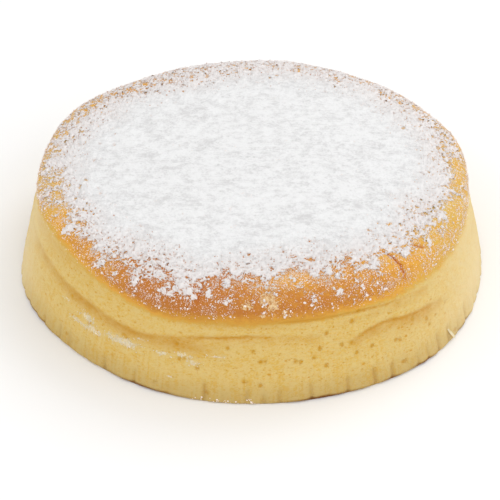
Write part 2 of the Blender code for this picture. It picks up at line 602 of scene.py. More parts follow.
print(len(CLEAR_PORES), "clear pores")

# %% [markdown]
# ## Colours and shared surface effects
#
# Sponge, crust and sugar share three effects: a soft mottle, small holes or specks, and fine
# upright streaks. Each is a node group that puts out a mask or a value. The materials set
# the sizes, and mix colours and bump with them.

# %% Colours as seen on a screen


def seen(red, green, blue):
    """A colour from its three screen values, 0 to 255, as Blender's linear colour."""
    linear = []
    for part in (red, green, blue):
        share = part / 255.0
        linear.append(share / 12.92 if share <= 0.04045 else ((share + 0.055) / 1.055) ** 2.4)
    return (*linear, 1.0)


print("middle grey of a screen is", round(seen(128, 128, 128)[0], 3), "in linear light")

# %% Shared shader groups


def start_group(name, inputs, output):
    """A shader group with a Vector, named numbers in, and one number out."""
    group = bpy.data.node_groups.new(name, "ShaderNodeTree")
    new_socket(group, "Vector", "INPUT", "Vector")
    new_socket(group, output, "OUTPUT", "Float")
    return group, named_inputs(group, inputs)


def mottle_group():
    """Soft clouds at two sizes, about 0 to 1."""
    group, given = start_group("soft mottle", {"Size": 4.0 * MM}, "Value")
    clouds = []
    for smaller, part in ((1.0, 0.6), (0.35, 0.4)):
        scale = given["Size"].do("POWER", -1.0) * (1.0 / smaller)
        inputs = {"Vector": given["Vector"], "Scale": scale, "Detail": 2.0}
        cloud = add_node(group, "ShaderNodeTexNoise", inputs)
        clouds.append(Num(group, cloud.outputs[0]) * part)
    hand_out(group, total_of(clouds))
    return group


def specks_group():
    """Round specks or holes: the size of a cell, the share of cells that hold one."""
    inputs = {"Size": 1.0 * MM, "Share": 0.3, "Width": 0.4}
    group, given = start_group("specks", inputs, "Mask")
    scale = given["Size"].do("POWER", -1.0)
    cells = add_node(
        group, "ShaderNodeTexVoronoi", {"Vector": given["Vector"], "Scale": scale}
    )
    chance = add_node(group, "ShaderNodeSeparateColor", {0: cells.outputs["Color"]})
    picked = given["Share"].do("GREATER_THAN", Num(group, chance.outputs[0]))
    wide = given["Width"] * (Num(group, chance.outputs[1]) * 0.7 + 0.3)
    distance = Num(group, cells.outputs["Distance"])
    hand_out(group, (1.0 - (distance / wide).ramp(0.35, 1.0)) * picked)
    return group


def streaks_group():
    """Fine upright streaks, as paper leaves on a wall: the same all the way up a streak."""
    group, given = start_group("streaks", {"Width": 1.0 * MM, "Length": 12.0 * MM}, "Value")
    x, y, z = split(group, given["Vector"])
    away = from_axis(x, y).do("MAXIMUM", MM)
    round_x = x / away * rim_radius / given["Width"]
    round_y = y / away * rim_radius / given["Width"]
    place = join(group, round_x, round_y, z / given["Length"])
    cloud = add_node(group, "ShaderNodeTexNoise", {"Vector": place, "Scale": 1.0, "Detail": 1.0})
    hand_out(group, Num(group, cloud.outputs[0]))
    return group


soft_mottle = mottle_group()
specks = specks_group()
streaks = streaks_group()
print("groups:", soft_mottle.name, specks.name, streaks.name)

# %% Helpers for materials
# sockets of the Mix node that deal with colours
FACTOR = 0
FIRST_COLOUR = 6
SECOND_COLOUR = 7
MIXED_COLOUR = 2
MATT = 0.2


def start_material(name):
    """A new material, its tree, its main shader, and Object coordinates."""
    material = bpy.data.materials.new(name)
    material.use_nodes = True
    tree = material.node_tree
    shader = tree.nodes["Principled BSDF"]
    place = tree.nodes.new("ShaderNodeTexCoord").outputs["Object"]
    return material, tree, shader, place


def use_group(tree, group, place, **values):
    """One use of a shared group, as a Num. Sizes are in metres."""
    node = add_node(tree, "ShaderNodeGroup", {"Vector": place}, node_tree=group)
    for label, value in values.items():
        fill(tree, node.inputs[label], value)
    return Num(tree, node.outputs[0])


def mix_colour(tree, share, first, second):
    """Blend two colours by a share from 0 to 1."""
    node = add_node(
        tree,
        "ShaderNodeMix",
        {FACTOR: share, FIRST_COLOUR: first, SECOND_COLOUR: second},
        data_type="RGBA",
        clamp_factor=True,
    )
    return node.outputs[MIXED_COLOUR]


def attribute(tree, name):
    """A number that was stored on the mesh."""
    node = add_node(tree, "ShaderNodeAttribute", attribute_name=name)
    return Num(tree, node.outputs["Fac"])


def colour_ramp(tree, value, stops):
    """Colours at rising values."""
    node = add_node(tree, "ShaderNodeValToRGB", {0: value})
    ends = node.color_ramp.elements
    for end, (position, colour) in zip(ends, (stops[0], stops[-1])):
        end.position = position
        end.color = colour
    for position, colour in stops[1:-1]:
        ends.new(position).color = colour
    return node.outputs[0]


def finish(tree, shader, colour, roughness, height, relief):
    """Link the colour, the roughness and the small relief, in metres, to the main shader."""
    bump = add_node(
        tree, "ShaderNodeBump", {"Height": height, "Distance": relief, "Strength": 1.0}
    )
    fill(tree, shader.inputs["Base Color"], colour)
    fill(tree, shader.inputs["Roughness"], roughness)
    fill(tree, shader.inputs["Normal"], bump.outputs[0])
    fill(tree, shader.inputs["Specular IOR Level"], MATT)


# %% [markdown]
# ## Sponge and crust in one finish
#
# Wall and crust are the same batter: the crust is only browner. So one material holds both,
# and the stored number `browning` leads it from butter yellow through ochre and golden to
# orange-brown. The wall has gas pores, fine upright streaks from the paper, and a thin dark
# brown line along its foot. Painted shade darkens the wall towards the foot, in the grooves of
# the pleats and under the crust's lip, and a painted highlight lies above each fold. The crust
# is tighter, and has a faint sheen.

# %% Colours of sponge and crust
BROWNING_STOPS = (
    (0.00, seen(221, 193, 124)),
    (0.14, seen(218, 181, 95)),
    (0.30, seen(220, 172, 75)),
    (0.50, seen(227, 167, 66)),
    (0.75, seen(208, 142, 54)),
    (1.00, seen(192, 120, 50)),
)
# tan of the wall, also the colour of the painted shade under the crust's lip and in the pleats
TAN_AND_SHADE = seen(198, 146, 56)
IN_CREASES = seen(198, 138, 24)
IN_PORES = seen(204, 146, 22)
IN_CRACKS = seen(188, 96, 34)
PALE_WALL = seen(234, 213, 166)
PAINTED_FOOT_SHADE = seen(176, 148, 92)
TORN_LACE = seen(238, 230, 212)
THIN_POWDER = seen(248, 240, 238)
DARK_FOOT_LINE = seen(120, 74, 30)
print(len(BROWNING_STOPS), "steps of browning")

# %% Sponge and crust
# sizes of the mottles that break up its colour and its relief
CLOUD_SIZE = 7.0 * MM
FINE_SIZE = 2.2 * MM
CRUMB_SIZE = 0.9 * MM
GRAIN_SIZE = 0.5 * MM
# the mottle is squashed this much: gas cells are wider than they are high
SQUASH = 1.7
FOOT_SHADE_TOP = 13.0 * MM
DARK_LINE_SPAN = (0.6 * MM, 1.9 * MM)
SPONGE_RELIEF = 0.50 * MM
SPONGE_GLOW = (1.0, 0.7, 0.35)


def sponge_material():
    """Pale pored wall and browned crust."""
    material, tree, shader, place = start_material("sponge_and_crust")
    x, y, z = split(tree, place)
    squashed = join(tree, x, y, z * SQUASH)
    brown = attribute(tree, "browning")
    crease = attribute(tree, "crease").bell(0.6)
    pleat = attribute(tree, "pleat").bell(0.8)
    crack = attribute(tree, "crack").bell(0.75)
    blanched = attribute(tree, "pale")
    crust = brown.ramp(0.06, 0.22)
    wall = 1.0 - crust
    low = 1.0 - z.ramp(0.15 * rim_height, 0.75 * rim_height)
    cloud = use_group(tree, soft_mottle, place, Size=CLOUD_SIZE)
    fine = use_group(tree, soft_mottle, squashed, Size=FINE_SIZE)
    crumb = use_group(tree, soft_mottle, squashed, Size=CRUMB_SIZE)
    grain = use_group(tree, soft_mottle, place, Size=GRAIN_SIZE)
    streak = use_group(tree, streaks, place, Width=1.1 * MM, Length=16.0 * MM)
    streak = (streak - 0.5) * wall * low

    # gas pores: the placed ones with ragged edges, and scattered ones of two sizes
    ragged = attribute(tree, "pore") + (crumb - 0.5) * 2.4 + (fine - 0.5) * 2.2
    placed = ragged.ramp(1.22, 0.38) * (cloud + 0.45).clamp()
    big = use_group(tree, specks, squashed, Size=4.2 * MM, Share=0.80, Width=0.29)
    small = use_group(tree, specks, squashed, Size=2.0 * MM, Share=0.90, Width=0.36)
    pores = (big + small * 0.8).clamp() * wall * attribute(tree, "porous")
    hole = (pores * 0.9 + placed).clamp()

    # browning, broken up by every mottle
    tone = brown + (cloud - 0.5) * 0.36 + (fine - 0.5) * 0.62
    tone = tone + (crumb - 0.5) * 0.70 + (grain - 0.5) * 0.40 + streak * 0.45
    colour = colour_ramp(tree, (tone + 0.05).clamp(), BROWNING_STOPS)

    # marks, each over the ones before it
    # tan bands, with painted shade under the crust's lip and a painted highlight above each fold,
    # and painted shade in the grooves of the pleats
    tan = (attribute(tree, "tan") * (fine + 0.5) + pleat * 0.55).clamp()
    # painted shade: the wall darkens towards the foot, less where it is pale
    shade = (1.0 - z.ramp(0.0, FOOT_SHADE_TOP)) * (1.0 - blanched * 0.8) * 0.5
    lace = use_group(tree, specks, place, Size=1.0 * MM, Share=0.75, Width=0.75)
    torn = (attribute(tree, "torn") * (crumb * 3.4 + fine * 2.8 - 2.4)).ramp(0.28, 0.64)
    dusted = attribute(tree, "dusted")
    powder = use_group(tree, specks, place, Size=0.55 * MM, Share=dusted, Width=0.70)
    marks = (
        (tan, TAN_AND_SHADE),
        (crease * (fine * 1.7).clamp(), IN_CREASES),
        (hole * 0.9, IN_PORES),
        (crack * 0.9, IN_CRACKS),
        (blanched * wall * (low * 0.25 + 0.55), PALE_WALL),
        (shade, PAINTED_FOOT_SHADE),
        (torn * (lace * 0.4 + 0.6) * 0.95, TORN_LACE),
        (powder * (1.0 - crack) * 0.85, THIN_POWDER),
        ((1.0 - z.ramp(*DARK_LINE_SPAN)) * attribute(tree, "toasted"), DARK_FOOT_LINE),
    )
    for share, over in marks:
        colour = mix_colour(tree, share, colour, over)

    roughness = 0.82 - crust * 0.22 + (fine - 0.5) * 0.2
    height = fine * 0.9 + crumb * 0.9 - hole * 0.2 + streak * 0.6 + grain * 0.3 * crust
    finish(tree, shader, colour, roughness, height, SPONGE_RELIEF)
    shader.inputs["Subsurface Weight"].default_value = 0.25
    shader.inputs["Subsurface Radius"].default_value = SPONGE_GLOW
    shader.inputs["Subsurface Scale"].default_value = 2.0 * MM
    return material


sponge_finish = sponge_material()
print(sponge_finish.name, len(sponge_finish.node_tree.nodes), "nodes")

# %% [markdown]
# ## Icing sugar in one finish
#
# Sugar is white, but a field of one white looks like paint. Here it has painted shade in its
# hollows, painted light low on the shoulder and near its edge, and it lets the crust through
# where it lies thin. The blanket stores its thickness and how near its edge a place is
# (`fringe`), and the finish cuts small gaps by them, with painted shade in the gaps. Loose
# sugar stores a thickness that the blanket never has, and stays whole.

# %% Icing sugar
# the thickness stored on loose sugar, so that its finish knows it from the blanket
LOOSE = 10.0
SUGAR_WHITE = seen(238, 238, 238)
HOLLOW_SHADE = seen(214, 213, 213)
FRINGE_LIGHT = seen(241, 235, 233)
SHOULDER_LIGHT = seen(255, 241, 234)
THIN_SUGAR = seen(238, 198, 172)
SHADED_GAP_IN_THICK = seen(200, 150, 124)
SHADED_GAP_IN_THIN = seen(198, 134, 90)
GAP_IN_SUN = seen(232, 184, 140)
SUGAR_RELIEF = 0.42 * MM


def sugar_material():
    """White powder, with painted shade in its hollows and painted light on the shoulder, tinted
    where it lies thin on the crust.
    """
    material, tree, shader, place = start_material("icing_sugar")
    x, y, z = split(tree, place)
    long = join(tree, x * 0.6, y, z)
    broad = use_group(tree, soft_mottle, place, Size=12.0 * MM)
    cloud = use_group(tree, soft_mottle, place, Size=4.0 * MM)
    lump = use_group(tree, soft_mottle, long, Size=2.6 * MM)
    fine = use_group(tree, soft_mottle, place, Size=0.9 * MM)
    grain = use_group(tree, soft_mottle, place, Size=0.45 * MM)
    thick = attribute(tree, "thickness")
    fringe = attribute(tree, "fringe")
    thin = 1.0 - thick.ramp(-0.05, 0.32)

    # painted shade: greyer in the hollows of the sugar's relief
    hollow_shade = (lump * 1.5 + fine + broad * 0.8 - 1.6).ramp(0.22, -0.34)
    # painted light: lighter and warmer low on the shoulder
    rim = z.ramp(0.90 * full_height, 0.80 * full_height)
    colour = mix_colour(tree, hollow_shade, SUGAR_WHITE, HOLLOW_SHADE)
    # painted light: a warm, lighter white near the edge, against the shade between the clumps
    colour = mix_colour(tree, fringe * 0.85, colour, FRINGE_LIGHT)
    colour = mix_colour(tree, rim, colour, SHOULDER_LIGHT)
    colour = mix_colour(tree, thin * 0.5, colour, THIN_SUGAR)

    # gaps, where the crust shows between the grains of the blanket: its colour there is darkened
    # by painted shade, and lightened towards the right by painted light
    holed = (cloud - 0.5).ramp(-0.03, 0.10)
    settled = 1.0 - thick.ramp(0.6 * LOOSE, 0.8 * LOOSE)
    share = (thin * 0.5 + fringe * (holed * 0.58 + 0.14)) * settled
    gaps = use_group(tree, specks, place, Size=1.0 * MM, Share=share, Width=0.6)
    sunny = x.ramp(0.2 * foot_radius, 0.9 * foot_radius) * 0.8
    under = mix_colour(tree, thin, SHADED_GAP_IN_THICK, SHADED_GAP_IN_THIN)
    under = mix_colour(tree, sunny, under, GAP_IN_SUN)
    colour = mix_colour(tree, gaps * 0.9, colour, under)

    height = fine + lump * 1.4 + cloud * 0.5 + grain * 0.4 - gaps * 0.5
    finish(tree, shader, colour, 0.95 - fine * 0.1, height, SUGAR_RELIEF)
    return material


sugar_finish = sugar_material()
print(sugar_finish.name, len(sugar_finish.node_tree.nodes), "nodes")

# %% Flecks, crumbs and torn skin


def pale_material(name, light, dark, size, roughness):
    """Two close tones in a mottle, soft and matt, for the small pale pieces."""
    material, tree, shader, place = start_material(name)
    cloud = use_group(tree, soft_mottle, place, Size=size)
    colour = mix_colour(tree, (cloud - 0.35).ramp(0.0, 0.3), dark, light)
    finish(tree, shader, colour, roughness + cloud * 0.1, cloud, 0.3 * MM)
    return material


fleck_finish = pale_material(
    "pale_flecks", seen(228, 218, 194), seen(220, 202, 160), 1.2 * MM, 0.85
)
crumb_finish = pale_material("crumb", seen(238, 213, 168), seen(212, 164, 108), 1.0 * MM, 0.8)
skin_finish = pale_material("skin", seen(230, 219, 190), seen(222, 204, 156), 1.5 * MM, 0.7)
print("small pieces:", fleck_finish.name, crumb_finish.name, skin_finish.name)

# %% [markdown]
# ## The cake as a turned and wrapped grid
#
# The cake is a turned shape, so its skin could be spun from a profile. Here a flat grid is
# wrapped instead: one side of the grid is the way round, the other is the way from the
# middle of the underside, up the wall and over the shoulder to the middle of the dome. The
# flat strip stays known while the grid is wrapped, so the guides drawn on it can press
# their marks into the right places. At the end, the seam and the two poles are merged, and
# the skin is one closed body.

# %% Where the crust starts, and how brown it is
# the crust's lower edge in mm up the strip, and humps of it
CRUST_EDGE = 33.6
CRUST_LOBES = (
    (-150.0, 19.0, 6.6), (-112.0, 12.0, -1.6), (-36.0, 20.0, -2.6), (-5.0, 25.0, -1.6),
    (60.0, 40.0, 1.0), (-225.0, 24.0, 1.6),
)
# how brown the crust is, 0 to 1
BROWN_BASE = 0.22
BROWN_LOBES = (
    (-92.0, 28.0, 0.66), (-66.0, 13.0, 0.26), (-47.0, 12.0, 0.20), (-56.0, 8.0, 0.10),
    (-118.0, 14.0, 0.46), (-106.0, 9.0, 0.10), (-143.0, 16.0, 0.38), (60.0, 40.0, 0.25),
    (-235.0, 30.0, 0.30),
)
# how many pores the wall shows
POROUS_BASE = 0.50
POROUS_LOBES = (
    (-72.0, 26.0, 0.85), (-50.0, 16.0, 0.35), (-132.0, 14.0, 0.25), (50.0, 30.0, 0.30),
    (-240.0, 25.0, 0.30),
)
# where the wall is palest
PALE_LOBES = (
    (-14.0, 25.0, 1.0), (-172.0, 15.0, 1.0), (40.0, 30.0, 0.5),
)
# where the dark line along the foot shows
DARK_LINE_LOBES = (
    (-155.0, 9.0, 0.8), (-116.0, 9.0, 1.0), (-74.0, 8.0, 1.0), (-56.5, 2.5, 0.9),
    (-47.0, 4.0, 1.0), (-30.0, 4.0, 0.6), (20.0, 30.0, 0.6), (120.0, 40.0, 0.6),
)
print("crust from", CRUST_EDGE, "mm up the wall")

# %% Patches of wall and crust
# direction, place up the strip in mm, half sizes, strength: the wall is tanned here; the rows
# just under the crust's edge are painted shade under its lip
TAN_AND_SHADE_BANDS = (
    (-165.0, 34.0, 7.0, 3.0, 0.35), (-148.0, 37.0, 16.0, 4.0, 0.30),
    (-154.0, 26.5, 10.0, 3.0, 0.40), (-137.0, 24.5, 9.0, 3.4, 0.60),
    (-121.0, 22.0, 9.0, 2.8, 0.60), (-106.0, 22.0, 7.0, 2.8, 0.50),
    (-101.0, 33.8, 17.0, 2.4, 0.60), (-78.0, 34.6, 11.0, 1.8, 0.45),
    (-60.0, 22.6, 7.0, 2.4, 0.35), (-46.0, 20.0, 7.0, 3.2, 0.45),
)
# the same: where the wall's skin tore into pale lace
WALL_PATCHES = (
    (-142.0, 20.2, 1.6, 0.7, 0.8), (-134.0, 18.6, 2.2, 1.4, 1.0), (-131.5, 14.8, 3.0, 1.6, 1.0),
    (-137.0, 14.6, 2.4, 1.0, 0.8), (-124.5, 16.2, 3.0, 1.6, 1.0), (-120.5, 16.6, 2.4, 1.6, 0.9),
    (-117.5, 20.2, 1.6, 0.5, 0.9), (-111.7, 17.2, 1.6, 0.9, 1.2), (-106.6, 18.6, 2.0, 0.9, 1.0),
    (-104.0, 16.2, 1.4, 1.2, 1.0), (-98.4, 19.8, 2.6, 0.4, 0.9), (-109.5, 8.5, 0.9, 0.5, 0.9),
)
# direction, place up the strip in mm, half sizes, height in mm: the crust rose here
BULGES = (
    (-79.0, 57.0, 5.0, 5.0, 0.9), (-51.4, 51.0, 2.6, 5.0, 0.6), (-35.5, 52.0, 3.0, 4.0, 0.4),
    (-20.0, 50.0, 3.0, 4.0, 0.3), (-159.0, 52.0, 3.0, 4.0, 0.5),
)
# direction, place up the strip in mm, half sizes, strength: the crust is paler here
PALE_CRUST = (
    (-84.0, 56.0, 9.0, 7.0, 0.22), (-68.0, 56.0, 8.0, 7.0, 0.16), (-54.0, 56.0, 7.0, 6.0, 0.14),
)
# direction, place up the strip in mm, half sizes, strength: fine powder lies here
POWDERED = (
    (-172.0, 51.0, 9.0, 5.0, 0.25), (-141.0, 50.0, 9.0, 5.0, 0.35),
    (-98.0, 50.0, 8.0, 8.0, -0.20), (-88.0, 58.0, 8.0, 6.0, 0.65),
    (-71.0, 58.0, 7.0, 6.0, 0.60), (-84.0, 51.0, 7.0, 4.0, 0.25), (-79.0, 58.0, 7.0, 5.0, 0.35),
    (-66.0, 51.0, 5.0, 5.0, 0.30), (-57.0, 50.0, 5.0, 5.0, 0.45), (-36.0, 53.0, 5.0, 5.0, 0.20),
    (-3.0, 51.0, 9.0, 5.0, 0.30),
)
print(len(TAN_AND_SHADE_BANDS), "tan bands,", len(WALL_PATCHES), "torn patches,", len(BULGES), "bulges")

# %% How far the sugar reaches, as a share of the foot's radius
SUGAR_EDGE = 0.875
SUGAR_LOBES = (
    (-188.0, 9.0, 0.020), (-164.0, 12.0, 0.022), (-122.0, 13.0, -0.016), (-82.0, 18.0, -0.080),
    (-65.0, 8.0, -0.034), (-141.0, 8.0, 0.010), (-44.0, 6.0, -0.010), (-25.0, 7.0, -0.046),
    (-10.0, 7.0, 0.006), (4.0, 8.0, 0.014), (42.0, 18.0, 0.012), (104.0, 34.0, -0.080),
)
# thin sugar that goes on past that edge
VEIL_LOBES = (
    (62.0, 38.0, 0.75), (112.0, 34.0, 0.70), (-192.0, 20.0, 0.66), (-166.0, 12.0, 0.55),
    (-128.0, 8.0, 0.30), (-24.0, 8.0, 0.35), (6.0, 13.0, 0.80), (-173.0, 6.0, 0.20),
)
# the edge runs in and out by about half of this, in mm
RAGGED_EDGE = 14.0
RAGGED_SIZE = 14.0 * MM


def compass(x, y):
    """Direction of a place on the cake, in degrees."""
    return y.do("ARCTAN2", x) * (180.0 / math.pi)


def patches(tree, way, up, rows):
    """Soft patches: direction, place up the strip in mm, half sizes, strength."""
    found = []
    for centre, height, half_way, half_up, strength in rows:
        across = (way - centre).do("WRAP", 180.0, -180.0)
        found.append(across.bell(half_way) * (up - height * MM).bell(half_up * MM) * strength)
    return total_of(found)


def sugar_margin(tree, place):
    """How far a place lies inside the sugar's edge, in millimetres. Below 0 is outside."""
    x, y, z = split(tree, place)
    edge = humps(compass(x, y), SUGAR_LOBES, SUGAR_EDGE) * foot_radius
    ragged = noise(tree, place, RAGGED_SIZE, 1.0) * RAGGED_EDGE
    drop = (dome_height - z) * 0.25
    return (edge - from_axis(x, y) - drop) * (1.0 / MM) + ragged


def sugar_veil(tree, place):
    """Share of thin sugar that goes on past the edge, at the back and the left."""
    x, y, z = split(tree, place)
    veil = humps(compass(x, y), VEIL_LOBES).clamp()
    return veil * z.ramp(0.80 * full_height, 0.90 * full_height)


print("sugar reaches", round(SUGAR_EDGE * foot_radius / MM, 1), "mm from the middle")

# %% Profile and plan as node sums
# the shoulder is a rolled curve: squarer than a circle, so that it bulges a little
ROLL_POWER = 3.7
ROLL_RISE = 0.8
# most of the dome's rings lie close together on the shoulder, the rest run to the middle
EVEN_RINGS = 0.76
# the wall leans in a little faster near the rim
LEAN_POWER = 1.15
FOOT_ROUNDING = 0.8 * MM


def turned_profile(way, ring, given):
    """Radius and height on the skin, from the direction in degrees and the ring number."""
    under = (ring / given["Under rings"]).clamp()
    past = ring - given["Under rings"]
    wall = (past / given["Wall rings"]).clamp()
    past = past - given["Wall rings"]
    band = (past / given["Band rings"]).clamp()
    past = past - given["Band rings"]
    roll = (past / given["Dome rings"]).clamp()
    swell = humps(way, TOP_LOBES)
    foot = humps(way, FOOT_LOBES, 1.0) * given["Foot radius"]
    rim = (swell * RIM_SHARE + 1.0) * given["Rim radius"]
    shoulder = (swell + 1.0) * given["Shoulder radius"]
    turn = (roll * EVEN_RINGS + (roll ** 8.0) * (1.0 - EVEN_RINGS)) * (0.5 * math.pi)
    across = turn.do("COSINE").clamp() ** (2.0 / ROLL_POWER)
    up = turn.do("SINE").clamp() ** ROLL_RISE
    corner = (1.0 - wall * given["Rim height"] / FOOT_ROUNDING).clamp()
    rounding = (1.0 - (1.0 - corner * corner) ** 0.5) * FOOT_ROUNDING
    side = foot - (foot - rim) * (wall ** LEAN_POWER) - rounding
    radius = under * (side + band * (shoulder - rim) + (across - 1.0) * shoulder)
    height = wall * given["Rim height"]
    height = height + band * (given["Shoulder height"] - given["Rim height"])
    height = height + up * (given["Dome height"] - given["Shoulder height"])
    beyond = (1.0 - across) * shoulder
    return radius, height, beyond


# %% Relief pressed in by the guides
# half width in metres and depth in mm of each groove
PLEAT_GROOVE = (0.9 * MM, -0.9)
PLEAT_HOLLOW = (3.2 * MM, -0.15)
FOLD_GROOVE = (0.8 * MM, -0.4)
CRACK_GROOVE = (0.9 * MM, -1.0)
PORE_GROOVE = (0.8 * MM, -0.2)
# above a fold the skin swells: how far above, half width, height in mm
FOLD_REACH = 3.0 * MM
SWELL_WIDTH = 2.2 * MM
SWELL_HEIGHT = 0.3


def near_guide(tree, guide, kind, strip):
    """Distance to a guide on the strip, and the nearest place on it."""
    near = add_node(
        tree,
        "GeometryNodeProximity",
        {"Geometry": shape_of(tree, guide), "Sample Position": strip},
        target_element=kind,
    )
    return Num(tree, near.outputs["Distance"]), split(tree, near.outputs["Position"])


def groove(distance, half_width, depth):
    """A soft groove along a guide."""
    return distance.bell(half_width) * depth


def wall_relief(tree, given, strip, place, height, seam):
    """How far the skin stands out or in, in metres, and masks for the material."""
    pleat, _ = near_guide(tree, given["Pleats"], "EDGES", strip)
    fold, fold_place = near_guide(tree, given["Folds"], "EDGES", strip)
    crack, _ = near_guide(tree, given["Cracks"], "EDGES", strip)
    pore, _ = near_guide(tree, given["Pores"], "POINTS", strip)
    above = (split(tree, strip)[1] - fold_place[1]).ramp(-0.5 * MM, 1.5 * MM)
    pleats = groove(pleat, *PLEAT_GROOVE) + groove(pleat, *PLEAT_HOLLOW)
    swelling = (fold - FOLD_REACH).bell(SWELL_WIDTH) * above * SWELL_HEIGHT
    folds = groove(fold, *FOLD_GROOVE) + swelling
    marks = pleats + folds + groove(crack, *CRACK_GROOVE) + groove(pore, *PORE_GROOVE)
    wall_part = 1.0 - height.ramp(0.9 * rim_height, 1.1 * shoulder_height)
    lumps = noise(tree, place, 11.0 * MM) * 1.1 + noise(tree, place, 3.2 * MM) * 0.5
    relief = marks * seam + lumps * (wall_part * 0.7 + 0.3)
    return relief * MM, pleat, fold, crack, pore, above


print("pleats", -PLEAT_GROOVE[1], "mm deep, cracks", -CRACK_GROOVE[1], "mm deep")

# %% The hills of the dome
# waves across X, waves across Y, phase, height in mm
SWELLS = (
    (1.3, 0.6, 0.4, 0.40), (-0.8, 1.7, 2.1, 0.35), (2.1, 1.9, 4.0, 0.20),
)


def dome_swell(x, y, radius):
    """Slow hills and hollows of the dome, nothing at the shoulder."""
    total = 0.0
    for waves_x, waves_y, phase, size in SWELLS:
        wave = ((x * waves_x + y * waves_y) * (math.pi / shoulder_radius) + phase).do("SINE")
        total = wave * (size * MM) + total
    part = (radius / shoulder_radius).clamp()
    return total * (1.0 - part ** 4.0)


print("dome uneven by up to", round(sum(row[3] for row in SWELLS), 2), "mm")

# %% Numbers stored on the skin for its finish
# guides store their distance in mm, up to this
FAR_FROM_GUIDE = 9.0


def browning(tree, side, up, here):
    """How brown the skin is: 0 on the wall, and past the crust's ragged edge up to 1."""
    start = humps(side, CRUST_LOBES, CRUST_EDGE) * MM + noise(tree, here, 6.0 * MM) * (3.0 * MM)
    edge = up - start + noise(tree, here, 2.0 * MM) * (1.2 * MM)
    baked = edge.ramp(-1.4 * MM, 1.6 * MM) * 0.56 + edge.ramp(0.5 * MM, 5.5 * MM) * 0.44
    brown = baked * humps(side, BROWN_LOBES, BROWN_BASE) + up.ramp(46.0 * MM, 60.0 * MM) * 0.04
    return brown - patches(tree, side, up, BULGES) * 0.22 - patches(tree, side, up, PALE_CRUST)


def tan_shade_and_highlight(tree, side, up, here, fold, above, seam):
    """Tan bands of the wall with painted shade under the crust's lip, a stain under each fold,
    and a painted highlight just above it.
    """
    # painted highlight: less tan just above each fold, where the skin swells
    painted_highlight = (fold - FOLD_REACH).bell(1.8 * MM) * above * 0.4
    patchy = (noise(tree, here, 7.0 * MM) * 3.0 + 0.8).clamp(0.3, 1.3)
    stain = (fold.bell(3.0 * MM) * (1.0 - above * 0.8) * 0.45 - painted_highlight) * patchy * seam
    stain = stain * up.ramp(31.0 * MM, 29.0 * MM)
    return (patches(tree, side, up, TAN_AND_SHADE_BANDS) + stain).clamp()


def dusting(tree, side, up, height, here):
    """How much fine powder lies on the crust."""
    dusted = sugar_margin(tree, here).ramp(-11.0, 5.0) * 0.7
    dusted = dusted.do("MAXIMUM", sugar_veil(tree, here) * 0.8)
    dusted = dusted + patches(tree, side, up, POWDERED)
    return (dusted * height.ramp(0.74 * full_height, 0.86 * full_height)).clamp()


# %% Named inputs of the tree
UNDER_RINGS = 3
CAKE_SIZES = {
    "Foot radius": foot_radius,
    "Rim radius": rim_radius,
    "Shoulder radius": shoulder_radius,
    "Rim height": rim_height,
    "Shoulder height": shoulder_height,
    "Dome height": dome_height,
    "Under rings": UNDER_RINGS,
    "Wall rings": 46,
    "Band rings": 8,
    "Dome rings": 48,
    "Columns": 900,
}
CAKE_GUIDES = {
    "Pleats": pleat_guide,
    "Folds": fold_guide,
    "Cracks": crack_guide,
    "Pores": pore_guide,
}
# the relief fades out in the last part of the way round, where the skin is sewn up
SEAM_SHARE = 0.012
print(len(CAKE_SIZES), "sizes and", len(CAKE_GUIDES), "guides go into the tree")

# %% The whole tree


